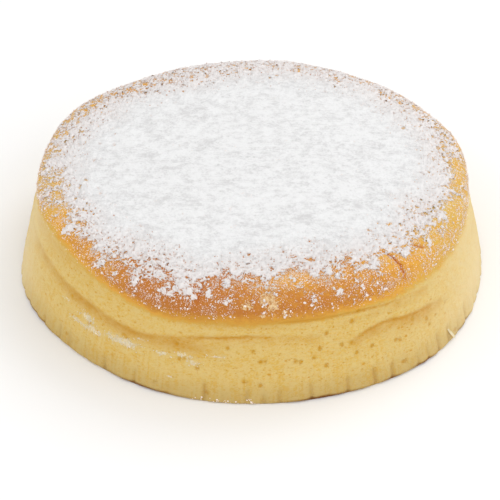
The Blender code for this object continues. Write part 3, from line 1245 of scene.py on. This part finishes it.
def body_tree(material):
    """Wrap a grid into the cake, press in its marks, and close it."""
    tree, given = start_tree("turned cake", {**CAKE_SIZES, **dict.fromkeys(CAKE_GUIDES)})
    rings = given["Under rings"] + given["Wall rings"] + given["Band rings"]
    rings = rings + given["Dome rings"]
    columns = given["Columns"]
    grid = add_node(
        tree,
        "GeometryNodeMeshGrid",
        {"Size X": 1.0, "Size Y": 1.0, "Vertices X": columns + 1.0, "Vertices Y": rings + 1.0},
    )

    # wrap: the flat place gives the way round and the ring, and these the place in space
    flat_x, flat_y, _ = split(tree, position(tree))
    way = flat_x * 360.0 - 90.0
    ring = (flat_y + 0.5) * rings
    radius, height, beyond = turned_profile(way, ring, given)
    radians = way * (math.pi / 180.0)
    x = radius * radians.do("COSINE")
    y = radius * radians.do("SINE")
    lift = dome_swell(x, y, radius) * height.ramp(shoulder_height, 1.05 * shoulder_height)
    seam = (1.0 - flat_x.do("ABSOLUTE") * 2.0).ramp(0.0, SEAM_SHARE)
    noted = captured(
        tree,
        grid.outputs[0],
        strip=("VECTOR", join(tree, way * degree, height + beyond, 0.0)),
        seam=("FLOAT", seam),
        ring=("FLOAT", ring),
    )
    wrapped = moved(tree, noted[0], Position=join(tree, x, y, height + lift))

    # press: the guides work on the strip, the rest on the cake as it now is
    strip = noted["strip"]
    seam = Num(tree, noted["seam"])
    ring = Num(tree, noted["ring"])
    up = split(tree, strip)[1]
    here = position(tree)
    x, y, z = split(tree, here)
    side = compass(x, y)
    relief, pleat, fold, crack, pore, above = wall_relief(tree, given, strip, here, z, seam)
    relief = relief + patches(tree, side, up, BULGES) * MM
    relief = relief * (ring - float(UNDER_RINGS)).ramp(0.0, 1.5)
    relief = relief * from_axis(x, y).ramp(2.0 * MM, 8.0 * MM)
    normal = add_node(tree, "GeometryNodeInputNormal").outputs[0]
    pressed = moved(tree, wrapped, Offset=scaled(tree, normal, relief))

    distances = {"pore": pore, "crease": fold, "crack": crack, "pleat": pleat}
    for name, distance in distances.items():
        distance = distance / MM + (1.0 - seam) * FAR_FROM_GUIDE
        distances[name] = distance.clamp(0.0, FAR_FROM_GUIDE)
    porous = humps(side, POROUS_LOBES, POROUS_BASE) * up.ramp(2.0 * MM, 13.0 * MM) + 0.12
    painted = store(
        tree,
        pressed,
        browning=browning(tree, side, up, here),
        **distances,
        tan=tan_shade_and_highlight(tree, side, up, here, fold, above, seam),
        pale=humps(side, PALE_LOBES),
        porous=porous.clamp() * (noise(tree, here, 12.0 * MM) + 1.0),
        toasted=humps(side, DARK_LINE_LOBES) * (noise(tree, here, 9.0 * MM) + 1.0),
        dusted=dusting(tree, side, up, z, here),
        torn=patches(tree, side, up, WALL_PATCHES),
    )
    closed = add_node(
        tree, "GeometryNodeMergeByDistance", {"Geometry": painted, "Distance": 0.01 * MM}
    )
    return end_tree(tree, closed.outputs[0], material)


# %% Make the cake's body
cake_body = run_tree("cake_body", body_tree(sponge_finish), CAKE_GUIDES)
for guide in CAKE_GUIDES.values():
    bpy.data.objects.remove(guide, do_unlink=True)
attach(cake_body, "root")
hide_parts("cheesecake")

# %% [markdown]
# ## The blanket of icing sugar
#
# Sifted sugar lies as one soft blanket in the middle, less than a millimetre thick, and
# thins out towards the rim, where the crust shows through in patches. It is made as a fine
# flat grid that is dropped onto the cake by rays, and then raised by its own thickness.
# Where that thickness falls below nothing the sheet dips under the crust, so its edge is as
# ragged as the noise in it. Faces that lie well under the crust are deleted. The grid is
# stretched in the smooth middle, so that its cells are finest at the ragged fringe.
#
# The clearest bare patches, pits and heaps are drawn as guides again, seen from above: a
# direction, and a share of the foot's radius.

# %% Bare patches: direction, share of the radius, lift in mm
BARE_LINES = (
    [(-174.0, 0.86, 1.5), (-171.5, 0.83, 0.5)],
    [(-167.0, 0.82, 2.6), (-165.0, 0.82, 2.8)],
    [(-161.0, 0.88, 0.5), (-157.5, 0.84, 0.0), (-154.0, 0.88, 0.5)],
    [(-147.0, 0.89, 0.8), (-141.0, 0.86, 0.6), (-137.0, 0.89, 0.6)],
    [(-131.0, 0.90, 0.8), (-127.0, 0.86, 1.4), (-126.0, 0.89, 0.8)],
    [(-121.0, 0.712, 3.4), (-118.0, 0.735, 3.2), (-115.5, 0.765, 3.2)],
    [(-119.0, 0.88, 0.8), (-114.5, 0.87, 0.8)],
    [(-104.0, 0.83, 1.4), (-103.7, 0.89, 0.3)],
    [(-102.0, 0.77, 2.8), (-98.0, 0.76, 2.8)],
    [(-100.5, 0.80, 1.5), (-97.5, 0.86, 0.5), (-93.5, 0.83, 0.0), (-93.0, 0.89, 0.3)],
    [(-94.3, 0.775, 2.4), (-90.3, 0.765, 2.2), (-89.0, 0.78, 2.4)],
    [(-82.5, 0.80, 1.0), (-79.5, 0.78, 0.8), (-75.0, 0.79, 1.4), (-71.0, 0.82, 2.0)],
    [(-83.0, 0.87, 0.0), (-77.0, 0.85, 0.4), (-71.0, 0.86, 1.4), (-64.0, 0.84, 1.0)]
    + [(-58.0, 0.86, 1.2)],
    [(-73.0, 0.705, 3.2), (-69.5, 0.705, 3.2)],
    [(-61.5, 0.787, 2.6), (-58.0, 0.80, 2.4)],
    [(-69.0, 0.82, 1.6), (-65.5, 0.80, 1.6), (-63.0, 0.815, 1.4)],
    [(-61.0, 0.75, 3.6), (-58.0, 0.748, 3.6)],
    [(-52.0, 0.87, 0.0), (-50.5, 0.83, 0.0), (-49.5, 0.81, 0.5)],
    [(-48.4, 0.82, 0.0), (-46.5, 0.87, 0.0), (-44.5, 0.89, 1.0)],
    [(-39.3, 0.86, 0.3), (-36.0, 0.84, 0.8), (-33.0, 0.87, 0.8)],
    [(-28.5, 0.79, 3.6), (-26.0, 0.79, 3.6)],
    [(-22.0, 0.87, 0.3), (-19.0, 0.85, 0.3), (-15.0, 0.88, 1.2)],
    [(-9.0, 0.85, 0.8), (-5.0, 0.865, 0.4), (0.0, 0.855, 0.4), (3.5, 0.86, 0.8)],
)
print(len(BARE_LINES), "bare patches")

# %% Pits and heaps: share of the radius, and directions
PITS = {
    0.600: (-192, -178, -68, 134),
    0.635: (-155, -135, -92, -78.5, 23.5, 119),
    0.665: (-192.5, -182, -167.5, -163.5, -160, -128, -77, -46, -41, 83.5, 105, 108.5),
    0.700: (-170, -138.5, -126.5, -102, -95, -71, -38, 8, 22, 58.5, 81, 107, 127),
    0.735: (-166.5, -156.5, -152, -98.5, -44, -36.5, -25, -4.5, 112, 120),
    0.765: (-169, -161, -154.5, -43, -20, -16, 2.5, 22.5, 59.5, 125),
    0.800: (-206, -195.5, -177.5, -150, -148, 9.5, 15.5, 82.5, 105.5, 127),
}
HEAPS = {
    0.790: (-79, -72.3, -67.8, -30),
    0.815: (-97.5, -54.5, -66),
    0.840: (-109, -77.5, -45, -34.5, -24),
    0.862: (-106.5, -101.5, -96, -69, -61.5, -36, -150),
    0.880: (-127.5, -121, -113.5, -105, -96.5, -74.5, -68.3, -133),
}


def seen_from_above(way, share, lift):
    """A place on a flat plan of the cake, from degrees, a share of the radius and mm."""
    turn = math.radians(way)
    far = share * foot_radius
    return far * math.cos(turn), far * math.sin(turn), lift * MM


def spots_in(rows):
    """One point for each direction in each ring of a table."""
    return [[(way, share, 0.0)] for share, ways in rows.items() for way in ways]


# %% Guides of the sugar
PLAN_LINES = {"Bare": BARE_LINES, "Pits": spots_in(PITS), "Heaps": spots_in(HEAPS)}
sugar_guides = {"Cake": cake_body}
for label, lines in PLAN_LINES.items():
    sugar_guides[label] = guide_object(label.lower() + "_guide", lines, seen_from_above)
print({label: len(lines) for label, lines in PLAN_LINES.items()})

# %% Thickness of the sugar at a place
# millimetres of sugar: below the first the sheet is cut away, and none is above the second
SUNK = -0.30
THICKEST = 1.35
# half width in metres and height in mm of each mark
BARE_MARK = (2.9 * MM, -0.70)
PIT_MARK = (1.1 * MM, -0.65)
HEAP_MARK = (1.8 * MM, 0.85)


def sugar_thickness(tree, given, place):
    """Millimetres of sugar over the crust. Below 0 the crust is bare."""
    margin = sugar_margin(tree, place)
    x, y, _ = split(tree, place)
    flat = join(tree, x, y, 0.0)
    bare, _ = near_guide(tree, given["Bare"], "EDGES", flat)
    pit, _ = near_guide(tree, given["Pits"], "POINTS", flat)
    heap, _ = near_guide(tree, given["Heaps"], "POINTS", flat)
    core = margin.ramp(8.0, 32.0)
    mean = (margin * 0.050).clamp(-0.52, 0.54) + core * 0.26
    mean = mean.do("MAXIMUM", sugar_veil(tree, place) * 0.62 - 0.30)
    mean = mean + groove(bare, *BARE_MARK) + groove(pit, *PIT_MARK) + groove(heap, *HEAP_MARK)
    heaps = noise(tree, place, 6.5 * MM)
    bumps = noise(tree, place, 2.2 * MM, 2.0, 0.6) * 2.0 * (1.0 - core * 0.55)
    grit = noise(tree, place, 1.0 * MM, 1.0, 0.7) * 2.8 * (1.0 - core * 0.88)
    return mean + heaps + bumps + grit


print("sugar up to", THICKEST, "mm thick")

# %% Blanket tree


def blanket_tree(material):
    """Drop a grid onto the cake, and thicken it with sugar."""
    tree, given = start_tree(
        "sifted blanket",
        {**dict.fromkeys(sugar_guides), "Radius": 0.09, "Cell": MM, "Stretch": 0.2},
    )
    side = given["Radius"] * 2.0
    count = side / given["Cell"] + 1.0
    grid = add_node(
        tree,
        "GeometryNodeMeshGrid",
        {"Size X": side, "Size Y": side, "Vertices X": count, "Vertices Y": count},
    )
    x, y, _ = split(tree, position(tree))
    far = from_axis(x, y) / given["Radius"]
    disc = without(tree, grid.outputs[0], far.do("GREATER_THAN", 1.0))
    spread = (1.0 - far * far) * given["Stretch"] + 1.0
    ray = add_node(
        tree,
        "GeometryNodeRaycast",
        {
            "Target Geometry": shape_of(tree, given["Cake"]),
            "Source Position": join(tree, x * spread, y * spread, full_height * 2.0),
            "Ray Direction": (0.0, 0.0, -1.0),
            "Ray Length": 1.0,
        },
    )
    place = ray.outputs["Hit Position"]
    low = split(tree, place)[2].ramp(0.86 * full_height, 0.74 * full_height)
    thick = sugar_thickness(tree, given, place) - low * 2.0
    noted = captured(
        tree,
        disc,
        thickness=("FLOAT", thick.clamp(-1.0, THICKEST)),
        fringe=("FLOAT", 1.0 - sugar_margin(tree, place).ramp(4.0, 26.0)),
    )
    thick = Num(tree, noted["thickness"])
    lift = scaled(tree, ray.outputs["Hit Normal"], thick * MM)
    laid = moved(tree, noted[0], Position=combined(tree, "ADD", place, lift))
    kept = store(tree, laid, thickness=thick, fringe=Num(tree, noted["fringe"]))
    return end_tree(tree, without(tree, kept, thick.do("LESS_THAN", SUNK)), material)


# %% Lay the blanket
sugar_blanket = run_tree(
    "sugar_blanket",
    blanket_tree(sugar_finish),
    {**sugar_guides, "Radius": 0.95 * foot_radius, "Cell": 0.455 * MM, "Stretch": 0.22},
)
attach(sugar_blanket, "root")

# %% [markdown]
# ## Clumps and grains of sugar
#
# Past the blanket's edge the sugar lies in loose clumps, then single grains, down to a fine
# dust on the shoulder. They are scattered over the cake with a chance that falls with the
# distance from the edge, and crowd together where a slow noise is high. A grain is a lumpy
# ball of few faces, because there are thousands of them. The same tree also scatters the
# pale flecks on the wall and the crumbs: only the rule for the chance differs.

# %% Chances: where grains, flecks and crumbs lie, from 0 to 1
# the lowest loose sugar lies this far above the crust's edge, in mm, and grows upwards
ABOVE_EDGE = 0.6
GROWS_OVER = 5.0 * MM


def loose_chance(bare, full, heaped_share, stray):
    """Loose sugar where the blanket's thickness is between bare and full, and strays."""

    def chance(tree, given, place):
        x, y, z = split(tree, place)
        thick = sugar_thickness(tree, given, place)
        heaped = thick.ramp(bare, full) * (1.0 - thick.ramp(0.35, 0.60))
        empty, _ = near_guide(tree, given["Bare"], "EDGES", join(tree, x, y, 0.0))
        crowd = noise(tree, place, 4.0 * MM, 2.0).ramp(-0.08, 0.16) * 0.85 + 0.15
        near = sugar_margin(tree, place).ramp(-17.0, -2.0) * (1.0 - thick.ramp(0.2, 0.4))
        strays = crowd * near * (1.0 - empty.bell(3.5 * MM) * 0.5) * stray
        low = (humps(compass(x, y), CRUST_LOBES, CRUST_EDGE) + ABOVE_EDGE) * MM
        return (heaped * heaped_share + strays) * z.ramp(low, low + GROWS_OVER)

    return chance


def patch_chance(rows, lace, solid=0.0):
    """Patches on the wall, with gaps. Lace is the size of the gaps, solid closes them."""

    def chance(tree, given, place):
        x, y, z = split(tree, place)
        gaps = (noise(tree, place, lace * MM, 2.0) + solid).ramp(-0.04, 0.10)
        return patches(tree, compass(x, y), z, rows) * gaps

    return chance


def on_blanket(tree, given, place):
    """How far a grain is lifted to lie on the blanket, in millimetres."""
    return sugar_thickness(tree, given, place).clamp(0.0, 0.8) * 0.9


def on_skin(tree, given, place):
    """Flecks and crumbs lie on the cake itself."""
    return 0.0


# %% Parts of the scatter tree
DENT_SIZE = 0.8 * MM
ABOVE_FLOOR = 0.05 * MM
# grains are flatter than they are wide, lean by up to half a radian, and turn all the way
GRAIN_SHAPE = (1.0, 0.8, 0.6)
LEAN_FROM = (-0.5, -0.5, 0.0)
LEAN_TO = (0.5, 0.5, 6.283)


def luck(tree, seed):
    """A number from 0 to 1 for every point."""
    node = add_node(tree, "FunctionNodeRandomValue", {"Seed": seed}, data_type="FLOAT")
    return Num(tree, node.outputs[1])


def dented(tree, geometry, dent):
    """Push the grains' points about by soft noise, and keep them above the floor."""
    here = position(tree)
    wobble = add_node(
        tree, "ShaderNodeTexNoise", {"Vector": here, "Scale": 1.0 / DENT_SIZE, "Detail": 1.0}
    )
    shift = combined(tree, "SUBTRACT", wobble.outputs["Color"], (0.5, 0.5, 0.5))
    place = combined(tree, "ADD", here, scaled(tree, shift, dent * MM))
    x, y, z = split(tree, place)
    return moved(tree, geometry, Position=join(tree, x, y, z.do("MAXIMUM", ABOVE_FLOOR)))


# %% Scatter tree


def scatter_tree(name, material, ball, chance, lift, dent):
    """Grains of one kind over the cake: ball is (mesh node, its options)."""
    tree, given = start_tree(
        name,
        {
            **dict.fromkeys(sugar_guides),
            "Smallest": 0.3,
            "Largest": 0.8,
            "Per square mm": 0.1,
            "Seed": 1,
        },
    )
    seed = given["Seed"]
    points = add_node(
        tree,
        "GeometryNodeDistributePointsOnFaces",
        {
            "Mesh": shape_of(tree, given["Cake"]),
            "Density": given["Per square mm"] * 1.0e6,
            "Seed": seed,
        },
    )
    noted = captured(
        tree,
        points.outputs["Points"],
        turn=("ROTATION", points.outputs["Rotation"]),
        outwards=("VECTOR", points.outputs["Normal"]),
    )
    place = position(tree)
    left_out = luck(tree, seed + 3.0).do("GREATER_THAN", chance(tree, given, place))
    kept = without(tree, noted[0], left_out)
    rise = scaled(tree, noted["outwards"], lift(tree, given, place) * MM)
    raised = moved(tree, kept, Offset=rise)

    # most grains are small: a power of luck leads from the smallest to the largest
    part = luck(tree, seed + 1.0) ** 2.2
    size = (given["Smallest"] + (given["Largest"] - given["Smallest"]) * part) * MM
    spin = add_node(
        tree,
        "FunctionNodeRandomValue",
        {0: LEAN_FROM, 1: LEAN_TO, "Seed": seed + 2.0},
        data_type="FLOAT_VECTOR",
    )
    turned = add_node(
        tree,
        "FunctionNodeRotateRotation",
        {0: noted["turn"], 1: spin.outputs[0]},
        rotation_space="LOCAL",
    )
    kind, options = ball
    placed = add_node(
        tree,
        "GeometryNodeInstanceOnPoints",
        {
            "Points": raised,
            "Instance": add_node(tree, kind, options).outputs[0],
            "Rotation": turned.outputs[0],
            "Scale": join(tree, *(size * side for side in GRAIN_SHAPE)),
        },
    )
    real = add_node(tree, "GeometryNodeRealizeInstances", {0: placed.outputs[0]})
    grains = dented(tree, real.outputs[0], dent)
    return end_tree(tree, store(tree, grains, thickness=LOOSE, fringe=1.0), material)


# %% Run the scatter tree


def scatter(name, slot, look, ball, chance, lift, dent, smallest, largest, density, seed):
    """Run the scatter tree once, and let the piece ride on the cake. Sizes are in mm."""
    values = {**sugar_guides, "Smallest": smallest, "Largest": largest}
    values.update({"Per square mm": density, "Seed": seed})
    piece = run_tree(name, scatter_tree(name, look, ball, chance, lift, dent), values)
    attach(piece, "root")


# %% Three sizes of loose sugar
ROUND_BALL = ("GeometryNodeMeshUVSphere", {"Radius": 0.5, "Segments": 6, "Rings": 4})
ROUGH_BALL = ("GeometryNodeMeshIcoSphere", {"Radius": 0.5, "Subdivisions": 1})
TINY_BALL = ("GeometryNodeMeshUVSphere", {"Radius": 0.5, "Segments": 4, "Rings": 2})
CHIP = ("GeometryNodeMeshCone", {"Vertices": 3, "Radius Bottom": 0.55, "Depth": 0.9})
# name, ball, chance, dent, smallest, largest, how many per square mm, seed
LOOSE_SUGAR = (
    ("sugar_clumps", ROUGH_BALL, loose_chance(-0.10, 0.25, 0.9, 0.06), 0.4, 0.7, 1.4, 0.8, 21),
    ("sugar_grains", TINY_BALL, loose_chance(-0.25, 0.15, 0.5, 0.82), 0.2, 0.36, 0.8, 3.5, 31),
    ("sugar_dust", CHIP, loose_chance(-0.35, 0.05, 0.5, 1.10), 0.1, 0.22, 0.45, 5.0, 41),
)
for name, ball, chance, *sizes in LOOSE_SUGAR:
    scatter(name, "icing_sugar", sugar_finish, ball, chance, on_blanket, *sizes)

# %% [markdown]
# ## Flecks on the wall
#
# Where the wall stuck to its paper and tore, and where sugar fell past the rim, the wall
# has lacy pale flecks round its larger pores, and a little sugar lies along the foot.

# %% Pale flecks
# direction, height in mm, half sizes, strength: sugar lies along the foot here
FOOT_PATCHES = (
    (-98.0, 0.6, 2.6, 0.9, 1.0), (-91.2, 0.8, 1.6, 1.1, 1.0), (-103.0, 0.6, 0.9, 0.6, 0.8),
)
scatter(
    "wall_flecks", "icing_sugar", fleck_finish, ROUGH_BALL,
    patch_chance(WALL_PATCHES, 1.4), on_skin, 0.25, 0.3, 0.8, 13.0, 51,
)
scatter(
    "foot_sugar", "icing_sugar", sugar_finish, ROUGH_BALL,
    patch_chance(FOOT_PATCHES, 1.5), on_skin, 0.3, 0.4, 1.0, 4.0, 61,
)

# %% [markdown]
# ## Crumbs
#
# A few cream-coloured crumbs, of batter and sugar baked together, cling to the crust at the
# front. They are rounder and larger than the grains, with more faces.

# %% Crumbs at the front of the crust
# direction, height in mm, half sizes, strength
CRUMB_PATCHES = (
    (-86.2, 42.4, 1.4, 1.1, 1.0), (-85.3, 40.9, 1.2, 1.0, 1.0), (-87.6, 37.6, 0.9, 0.6, 0.7),
    (-82.5, 38.6, 0.45, 0.45, 2.4), (-81.8, 37.4, 0.45, 0.45, 2.4),
    (-91.5, 41.2, 0.8, 0.7, 1.8),
)
scatter(
    "crumbs", "sponge", crumb_finish, ROUND_BALL,
    patch_chance(CRUMB_PATCHES, 1.4, 0.10), on_skin, 0.35, 0.35, 0.95, 24.0, 71,
)

for label in PLAN_LINES:
    bpy.data.objects.remove(sugar_guides[label], do_unlink=True)

# %% [markdown]
# ## A flap of torn skin
#
# At the right, a narrow strip of the wall's pale skin has come away with the paper. It is
# held at its top and curls outwards at the foot. A strip is swept down a short curve that
# leaves the wall, and Solidify gives it a skin's thickness.

# %% Find the wall from outside
body_finder = BVHTree.FromObject(cake_body, bpy.context.evaluated_depsgraph_get())


def on_wall(way, height):
    """The place on the cake in a direction and at a height in mm, and the way outwards."""
    turn = math.radians(way)
    out = Vector((math.cos(turn), math.sin(turn), 0.0))
    start = out * 2.0 * foot_radius + Vector((0.0, 0.0, height * MM))
    place, normal, _, _ = body_finder.ray_cast(start, -out)
    return place, normal


print("wall at the front, 10 mm up:", [round(part, 4) for part in on_wall(-90.0, 10.0)[0]])

# %% Sweep the strip
# direction, height in mm, distance from the wall in mm, half width in mm
FLAP_LINE = (
    (-37.1, 6.0, -0.30, 0.25), (-36.9, 5.0, 0.00, 0.45), (-36.7, 4.0, 0.30, 0.60),
    (-36.5, 2.9, 0.55, 0.65), (-36.3, 1.9, 0.80, 0.60), (-36.2, 1.0, 1.00, 0.40),
)
FLAP_COLUMNS = 6
FLAP_CURL = 0.35
FLAP_THICKNESS = 0.35 * MM
FLAP_LEVELS = 2


def flap_row(way, height, off, half):
    """Points across the strip, curled outwards at both edges."""
    place, normal = on_wall(way, height)
    along = Vector((0.0, 0.0, 1.0)).cross(normal).normalized()
    row = []
    for column in range(FLAP_COLUMNS + 1):
        part = 2.0 * column / FLAP_COLUMNS - 1.0
        curl = FLAP_CURL * part * part * half
        row.append(place + normal * (off + curl) * MM + along * part * half * MM)
    return row


def make_flap():
    """A curled strip of skin."""
    mesh = bpy.data.meshes.new("torn_skin")
    builder = bmesh.new()
    grid = [[builder.verts.new(spot) for spot in flap_row(*row)] for row in FLAP_LINE]
    for upper, lower in zip(grid, grid[1:]):
        for left in range(FLAP_COLUMNS):
            builder.faces.new((lower[left], lower[left + 1], upper[left + 1], upper[left]))
    builder.to_mesh(mesh)
    builder.free()
    mesh.materials.append(skin_finish)
    flap = new_object("torn_skin", mesh)
    solid = flap.modifiers.new("thickness", "SOLIDIFY")
    solid.thickness = FLAP_THICKNESS
    solid.offset = 0.0
    soft = flap.modifiers.new("soft", "SUBSURF")
    soft.levels = FLAP_LEVELS
    soft.render_levels = FLAP_LEVELS
    return flap


torn_skin = make_flap()
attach(torn_skin, "root")
print("torn_skin", len(torn_skin.data.polygons), "faces before it is thickened and smoothed")
